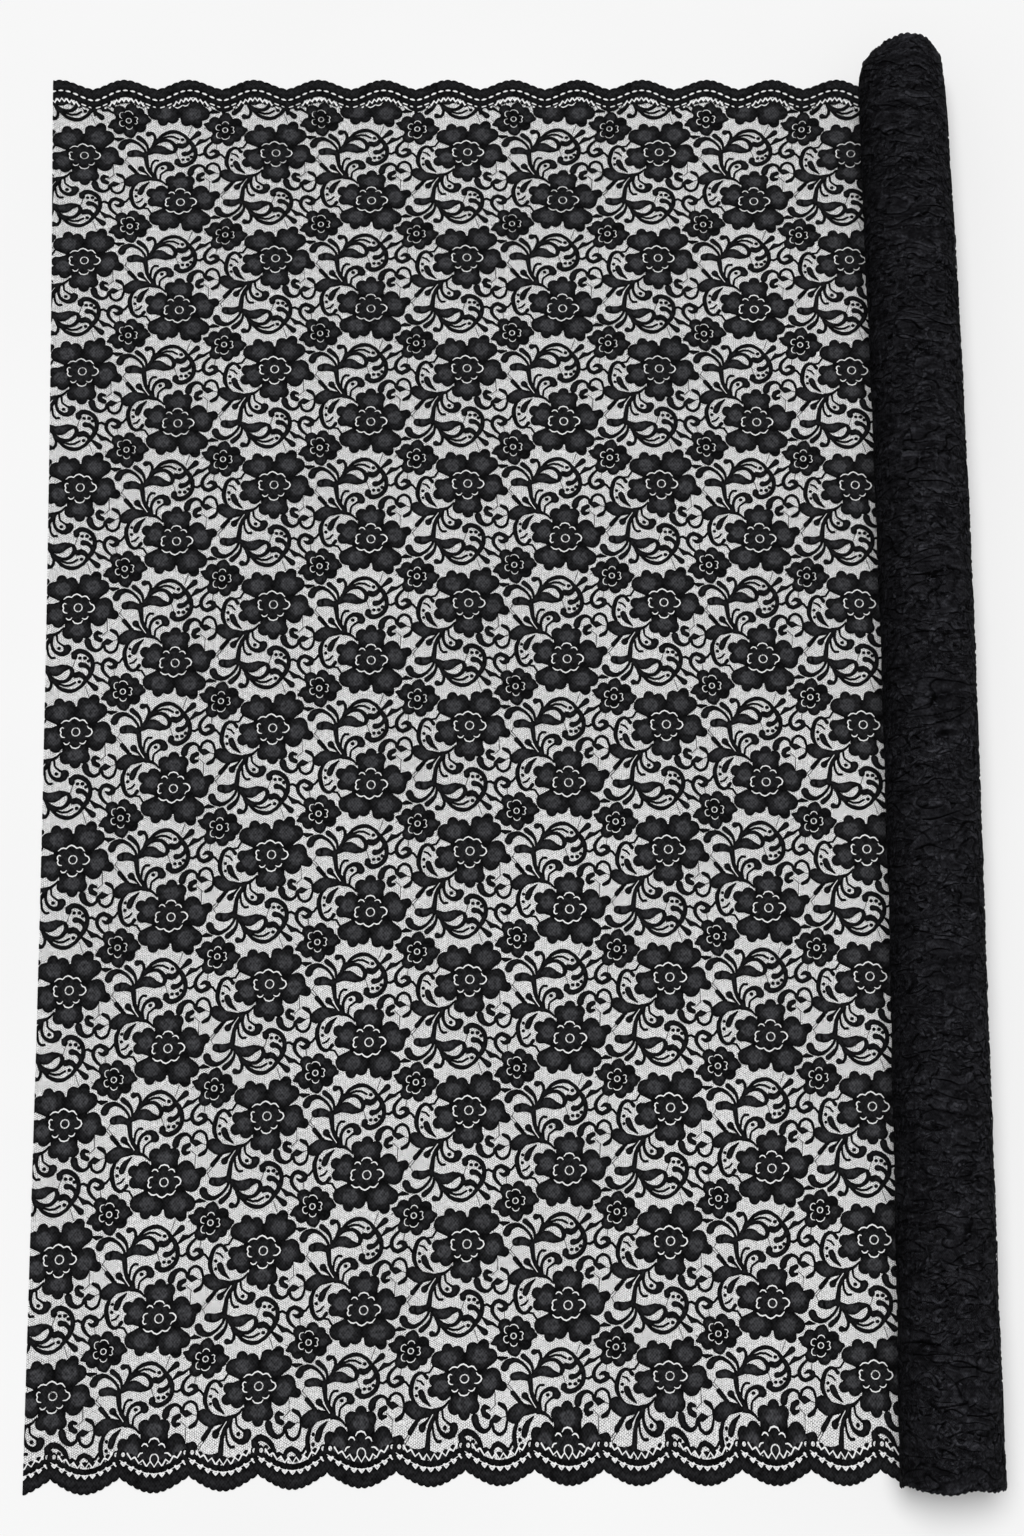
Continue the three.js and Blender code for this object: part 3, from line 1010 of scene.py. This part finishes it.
def pressed_lines_and_shade():
    """Threads and creases of the turns below, pressed through: a height for them, and a light that paints
    shade in their grooves and a highlight on their ridges.

    They run more round the roll than along it.
    """
    inputs, outputs = {"Place": "Vector", "Strength": 1.0}, {"Light": "Float", "Height": "Float"}
    group, given, made = node_group("pressed lines and painted shade", "ShaderNodeTree", inputs, outputs)

    def drawn_round(size, shift, detail=2):
        shorter, moved = (0.6, 1, 1), (shift, shift, 0)
        place = reckon("MULTIPLY_ADD", given["Place"], shorter, moved, kind=VECTOR_MATH)
        return uneven(place, size, detail)

    along = node_in(group, "ShaderNodeSeparateXYZ", Vector=given["Place"]).outputs["Y"]
    folds = []
    for pitch, size, shift, bend in ((0.021, 0.052, 0.3, 6.5), (0.014, 0.032, 1.1, 5)):
        bent = reckon("MULTIPLY", drawn_round(size, shift, 1.5), bend)
        fold = reckon("ADD", reckon("DIVIDE", along, pitch), bent)
        fold = reckon("FRACT", fold)
        steep, gentle = ramp(fold, 0, 0.15, -2.4, 0.4), ramp(fold, 0.15, 0.6, 0, 0.4)
        shown = ramp(drawn_round(size, shift + 2), 0.4, 0.55, 0.1, 1)
        folds.append(reckon("MULTIPLY", reckon("SUBTRACT", steep, gentle), shown))
    lines = []
    for size, shift, reach in ((0.013, 0.7, 0.08), (0.019, 1.9, 0.07)):
        away = reckon("SUBTRACT", drawn_round(size, shift, 0.6), 0.5)
        away = reckon("ABSOLUTE", away)
        lines.append(ramp(away, reach * 0.2, reach, 0.7, 0))
    line = reckon("SUBTRACT", lines[1], lines[0])
    height = reckon("ADD", reckon("ADD", *folds), line)
    strength = reckon("MULTIPLY", height, given["Strength"])
    feed(made["Height"], height)
    # The light is painted shade in each fold's steep groove and a painted highlight on its gentle side, and
    # along the dark and light lines.
    feed(made["Light"], reckon("POWER", 2.0, strength))
    return group


NET_THREADS, THREAD_GRAIN, PRESSED_LINES_AND_SHADE = net_threads(), thread_grain(), pressed_lines_and_shade()


def black_cloth(name, dark, light, net="", bump=0.0003, fold_lines_and_shade=0, blue=1.06):
    """Black thread, from its darkest to its lightest.

    A net is sheer, or pressed on a turn below. Turns below show through as strongly as told, in relief and
    as painted shade in their grooves and painted highlight on their ridges.
    """
    material = bpy.data.materials.new(name)
    material.use_nodes = True
    tree = material.node_tree
    cloth = tree.nodes["Principled BSDF"].inputs
    cloth["Specular IOR Level"].default_value = 0.02
    place = node_in(tree, "ShaderNodeUVMap", {"uv_map": "cloth"})
    scale = 1.4 if fold_lines_and_shade else 1  # wound cloth has the finer grain
    finer = node_in(tree, VECTOR_MATH, {"operation": "SCALE"}, Vector=place, Scale=scale)
    grain = node_in(tree, "ShaderNodeGroup", {"node_tree": THREAD_GRAIN}, Place=finer).outputs
    height = grain["Height"]
    lightness = node_in(tree, "ShaderNodeAttribute", {"attribute_name": "light"})
    brightness = ramp(lightness.outputs["Fac"], 0, 1, dark, light)
    brightness = reckon("MULTIPLY", brightness, grain["Light"])
    if fold_lines_and_shade:
        lines = node_in(tree, "ShaderNodeGroup", {"node_tree": PRESSED_LINES_AND_SHADE}, Place=place)
        lines.inputs["Strength"].default_value = fold_lines_and_shade
        brightness = reckon("MULTIPLY", brightness, lines.outputs["Light"])
        height = reckon("ADD", height, lines.outputs["Height"])
    if net:
        threads = node_in(tree, "ShaderNodeGroup", {"node_tree": NET_THREADS}, Place=place)
        drift = ramp(uneven(place, 0.0035, 3), 0.3, 0.7, -0.18, 0.14)
        feed(threads.inputs["Thread"], drift)
    if net == "sheer":
        feed(cloth["Alpha"], threads)
    if net == "pressed":
        threads.inputs["Mesh width"].default_value = 0.0024
        height = reckon("ADD", height, threads)
        # Painted shade: on a pressed net the holes are painted darker than the threads.
        thread_light_and_hole_shade = ramp(threads.outputs["Mask"], 0, 1, 0.7, 2.0)
        brightness = reckon("MULTIPLY", brightness, thread_light_and_hole_shade)
    colour = node_in(tree, "ShaderNodeCombineColor")
    for channel, tint in (("Red", 0.97), ("Green", 0.98), ("Blue", blue)):
        feed(colour.inputs[channel], reckon("MULTIPLY", brightness, tint))
    feed(cloth["Base Color"], colour)
    feed(cloth["Roughness"], ramp(uneven(place, 0.004), 0.3, 0.7, 0.62, 0.85))
    feed(cloth["Normal"], node_in(tree, "ShaderNodeBump", Distance=bump, Height=height))
    return material


net_cloth = black_cloth("net_ground", 0.003, 0.003, net="sheer")
dense_cloth = black_cloth("dense_filling", 0.0012, 0.036)

flat_lace = woven(range(-5, 5), dense_cloth)
loose_pieces = {}
for kind, name in (
    (NET, "loose_ground"), (SPRAY, "loose_sprays"), (FLOWER, "loose_flowers"),
    (BORDER, "loose_borders"),
):
    part = trimmed(flat_lace[kind], pattern_at(cut_edge, CUT_U), 1)
    part = trimmed(part, pattern_at(tucked_edge, -CUT_U), -1)
    material = net_cloth if kind == NET else dense_cloth
    loose_pieces[kind] = finished(name, part, lying(part[0]), material)
loose_ground = loose_pieces.pop(NET)
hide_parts("loose_length")

# ---- The roll --------------------------------------------------------------------------
# The rest of the cloth, wound tight on itself with no tube inside. The two outer turns are
# lace like the loose end, over a body of all the turns below, pressed together.

TURN = 0.8  # how far one turn lies outside the next
LOWEST = 0.15  # the lowest threads, just clear of the table
CREASE_WIDTH = 4.2
# The main creases across the roll: place along it, place round it and reach to both sides
# in degrees, bow, and height.
CREASES = [
    (722, 185, 80, 16, 1.2), (704, 160, 60, -10, 0.9), (686, 190, 75, 18, 1.3), (655, 170, 60, 20, 1.2),
    (634, 205, 45, 14, 0.9), (612, 180, 80, 24, 1.5), (590, 150, 45, 16, 1.0), (566, 190, 70, 22, 1.4),
    (540, 150, 60, 20, 1.2), (520, 215, 45, 12, 1.0), (496, 175, 80, 26, 1.6), (470, 140, 45, 18, 1.1),
    (446, 195, 60, 20, 1.3), (420, 160, 60, 18, 1.1), (392, 180, 80, 24, 1.6), (362, 135, 40, 16, 1.2),
    (340, 195, 60, 18, 1.1), (306, 160, 70, 22, 1.5), (270, 190, 60, 14, 0.9), (232, 140, 50, 20, 1.5),
    (200, 200, 50, 12, 0.9), (168, 170, 60, 14, 1.0), (120, 145, 55, 16, 1.2), (75, 130, 40, 18, 1.3),
    (20, 175, 60, 12, 0.9), (-40, 140, 45, 16, 1.2), (-95, 165, 55, -8, 0.8), (-150, 120, 40, 12, 1.2),
    (-210, 170, 60, -8, 0.8), (-275, 130, 45, 10, 1.1), (-340, 165, 50, -8, 0.8), (-400, 120, 30, -8, -1.4),
    (-455, 160, 50, -10, 0.9), (-520, 120, 28, -10, -1.6), (-560, 150, 50, -10, 0.9),
    (-592, 122, 22, -6, -1.8), (-630, 135, 35, -8, -1.2), (-668, 165, 60, -8, 0.9), (-706, 190, 70, 8, 0.8),
]


def creased(v, degrees):
    """How far the creases lift or sink the roll's surface."""
    degrees = degrees % 360
    lift = 0.3 * np.sin(v / 31 + 2 * np.sin(degrees / 40)) * np.sin(degrees / 23 + v / 90)
    for along, around, reach, bow, height in CREASES:
        t = (degrees - around) / reach
        away = v - along + bow * t**2 + 3 * np.sin(3 * t + along)
        across = away / CREASE_WIDTH
        ridge = np.exp(-(across**2)) - 0.6 * np.exp(-((across + 1.8) ** 2))
        lift = lift + height * ridge * np.exp(-((1.2 * t) ** 4))
    return lift


def along_roll(v):
    """Where a place across the cloth comes to lie, drawn in a little at the near end."""
    return across_table(v) + 5.0 * share(v, -600, -750) ** 1.5


def round_roll(u, v):
    """How far round the roll a place in the cloth comes to lie, and the roll's size there."""
    centre, radius, height = girth(along_roll(v))
    main = np.maximum(radius, girth(DOME_START)[1])
    flat = np.sqrt(main**2 - height**2)
    run = CUT_EDGE_X + u - CUT_U - centre - flat
    return np.arcsin(flat / main) + run / main, main


def round_axis(centre, height, out, turn, y):
    """The places so far round the roll's axis and out from it, kept above the table."""
    x, z = centre + out * np.sin(turn), height - out * np.cos(turn)
    return np.column_stack([x, y + 0 * x, np.maximum(z, LOWEST)])


def on_roll(turn, v, out):
    """The places so far round and along the roll, and so far out from its surface."""
    centre, radius, height = girth(along_roll(v))
    out = radius + out + creased(v, np.degrees(turn))
    return round_axis(centre, height, out, turn, along_roll(v))


def at_turn(degrees):
    """Where a line along the roll, so far round it, crosses the pattern, as u for each v."""

    def line(v):
        turn, main = round_roll(0 * v, v)
        return main * (math.radians(degrees) - turn)

    return line


def left_shade_share(turn):
    """How strong the painted shade on the roll's left side is, from 0 to 1."""
    return share(np.degrees(turn) % 360, 190, 262)


def with_painted_roll_shade(turn, v, light):
    """Painted shade on the roll's left side and in its crease troughs, and painted light on the crease
    ridges.
    """
    folds = 0.95 + 0.22 * creased(v, np.degrees(turn) % 360)
    return np.clip(light * (1 - 0.55 * left_shade_share(turn)) * folds, 0, 1.1)


def grid_faces(rows, columns, closed):
    """The triangles between rows of points, each row closed on itself or not."""
    steps = columns if closed else columns - 1
    i, j = np.meshgrid(np.arange(rows - 1), np.arange(steps), indexing="ij")
    a, b = i * columns + j, i * columns + (j + 1) % columns
    c, d = a + columns, b + columns
    return np.concatenate([np.stack([a, b, d], 2), np.stack([a, d, c], 2)]).reshape(-1, 3)


# Wound cloth looks a little bluer, and shows its threads in stronger relief.
wound = {"bump": 0.0013, "blue": 1.14}
wound_cloth = black_cloth("wound_cloth", 0.0001, 0.033, fold_lines_and_shade=1.1, **wound)
pressed_cloth = black_cloth("pressed_cloth", 0.0001, 0.028, "pressed", fold_lines_and_shade=1.3, **wound)
wound_lace = woven(range(3, 13), wound_cloth)
for name, kinds, start, end in (
    ("outer_turn_motifs", (SPRAY, FLOWER), 16, 345),
    ("outer_turn_selvages", (BORDER,), 16, 345),
    ("second_turn_motifs", (SPRAY, FLOWER), 345, 700),
    ("second_turn_selvages", (BORDER,), 345, 700),
):
    parts = [trimmed(trimmed(wound_lace[k], at_turn(start), 1), at_turn(end), -1) for k in kinds]
    points, faces, light = joined(*parts)
    u, v, up = points.T
    turn, _ = round_roll(u, v)
    # Painted light: on the roll the lace is lighter the higher it stands, a painted highlight on its cords
    # and painted shade at its motifs' rims, never darker than its filling's own tone.
    filling = np.minimum(1.4 * light, 0.5)
    light = with_painted_roll_shade(turn, v, 0.12 + 0.5 * np.maximum(share(up, 0.05, 0.75) ** 1.6, filling))
    place = on_roll(turn, v, 1.2 * up - 0.9 - TURN * (turn / (2 * np.pi) - 0.5))
    finished(name, (points, faces[:, ::-1], light), place, wound_cloth)

# The turns below, drawn in at both ends to where their own edges stand.
BODY_SIDES = 96
BODY_IN = 1.2
END_DEPTH = 13  # how deep the turns stand apart at the ends
dome = rings[rings[:, 0] >= DOME_START]
near_end = rings[0, 0]
body_start = near_end + END_DEPTH + 6


def dome_at(radius):
    """How far along the roll its domed far end reaches, so far out from its middle."""
    return np.interp(radius, dome[::-1, 2], dome[::-1, 0])


# Rings of the body, as the place along the roll and the radius: a shallow near end, the
# wound surface, and the dome.
body_rows = [(body_start + (1 - r / 50) * 4, r) for r in (1, 12, 24, 36, 46)]
body_rows += [(y, girth(y)[1]) for y in np.linspace(body_start, DOME_START + 8, 370)]
dome_radii = (43.4, 42.0, 40.0, 36.0, 30.0, 22.0, 14.0, 7.0, 1.0)
body_rows += [(dome_at(r + 1.5) - END_DEPTH + 3, r) for r in dome_radii]
turns = np.radians(np.arange(BODY_SIDES) * 360 / BODY_SIDES)
body_points, body_flat, body_light = [], [], []
for y, radius in body_rows:
    v = across_cloth(y)
    centre, full, height = girth(np.clip(y, near_end, rings[-1, 0]))
    outside = abs(radius - full) < 0.01
    lift = creased(v, np.degrees(turns)) - BODY_IN if outside else 0 * turns
    body_points.append(round_axis(centre, height, radius + lift, turns, y))
    body_flat.append(np.column_stack([50 * turns, v + 0 * turns, 0 * turns]))
    # Painted shade on the left side and in the crease troughs; the body's ends are given less lightness
    # than its wound surface.
    body_light.append(with_painted_roll_shade(turns, v, 0.44 if outside else 0.2))
body_faces = grid_faces(len(body_rows), BODY_SIDES, True)[:, ::-1]
last_ring = (len(body_rows) - 1) * BODY_SIDES
spokes = [(0, i + 1, i) for i in range(1, BODY_SIDES - 1)]
spokes += [(last_ring, last_ring + i, last_ring + i + 1) for i in range(1, BODY_SIDES - 1)]
body_part = np.vstack(body_flat), np.vstack([body_faces, spokes]), np.concatenate(body_light)
body = finished("roll_body", body_part, np.vstack(body_points), pressed_cloth)
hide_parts("lace_roll")

# The edges of the inner turns, each a little inside the one before. At the far end they
# stand out into the dome.
PITCH = 1.9
STEP = 1.5  # along the cloth
FIRST_TURN = math.radians(700)  # where the two outer turns end
# A turn's edge in section: how far out from its middle, how far back from its tip, and how light it looks.
# Far back between the turns it is painted dark, as painted shade, and its outer side by the tip is painted
# lighter than its inner side, as painted light.
EDGE = [(0.5, END_DEPTH, 0.1), (0.5, 1, 0.6), (0, 0, 0.3), (-0.5, 1, 0.3), (-0.5, END_DEPTH, 0.1)]
for side, name in ((NEAR, "near_end_turns"), (FAR, "far_end_turns")):
    turn, u = FIRST_TURN, 0.0
    radius = girth(DOME_START if side == FAR else near_end + 20)[1] - 2.7
    spiral = []
    while radius > 4.5:
        spiral.append((turn, radius, u))
        step = STEP / radius
        turn, radius, u = turn + step, radius - PITCH * step / (2 * np.pi), u + STEP
    turn, radius, u = np.array(spiral).T
    scallops = selvage_line(side, u)
    picots = selvage_line(side, u, loops=True) - scallops
    rise = 0.6 * scallops + 1.6 * picots - 0.6 * SELVAGES[side]["tip"]
    ragged = 0.8 * np.sin(turn * 0.37) + 1.2 * np.sin(turn * 1.7 + 3 * np.sin(turn * 0.11))
    if side == FAR:
        tip = dome_at(radius) + ragged
    else:
        tip = near_end + 6.5 + 6 * (1 - radius / radius[0]) - ragged
    centre, _, height = girth(np.clip(tip, near_end, rings[-1, 0]))
    rows = []
    for out, back, light in EDGE:
        place = round_axis(centre, height, radius + out, turn, tip + rise - side * back)
        flat = np.column_stack([u, back + out + 0 * u, 0 * u])
        # Painted shade on the roll's left side here too.
        rows.append((place, flat, light * (1 - 0.4 * left_shade_share(turn))))
    faces = grid_faces(len(rows), len(turn), False)
    if side == FAR:
        faces = faces[:, ::-1]
    place, flat, light = (np.concatenate([row[i] for row in rows]) for i in range(3))
    finished(name, (flat, faces, light), place, wound_cloth)

# ---- The table and the light -----------------------------------------------------------
# A plain white table top, which the cloth and its roll lie on, under an even sky and one
# large soft light from the upper left.

table_mesh = bpy.data.meshes.new("floor")
table_mesh.from_pydata([(-4, -4, 0), (4, -4, 0), (4, 4, 0), (-4, 4, 0)], [], [(0, 1, 2, 3)])
white = bpy.data.materials.new("white_table")
white.use_nodes = True
table_tree = white.node_tree
table_place = node_in(table_tree, "ShaderNodeTexCoord").outputs["Object"]
shade = ramp(uneven(table_place, 0.4), 0.3, 0.7, 0.84, 0.86)
table_colour = node_in(table_tree, "ShaderNodeCombineColor", Red=shade, Green=shade, Blue=shade)
table_top = table_tree.nodes["Principled BSDF"].inputs
feed(table_top["Base Color"], table_colour)
table_top["Roughness"].default_value = 0.9
table_top["Specular IOR Level"].default_value = 0.1
table_mesh.materials.append(white)
table = bpy.data.objects.new("floor", table_mesh)
bpy.context.scene.collection.objects.link(table)

world = bpy.data.worlds.new("studio")
world.use_nodes = True
sky = world.node_tree.nodes["Background"].inputs
sky["Color"].default_value = (1, 1, 1, 1)
sky["Strength"].default_value = 0.25
bpy.context.scene.world = world
lamp_data = bpy.data.lights.new("soft_box", "SUN")
lamp_data.angle = math.radians(36)
lamp_data.energy = 2.75
lamp = bpy.data.objects.new("soft_box", lamp_data)
lamp.rotation_euler = (math.radians(-14), math.radians(-7), 0)
bpy.context.scene.collection.objects.link(lamp)
bpy.context.scene.view_settings.view_transform = "Standard"
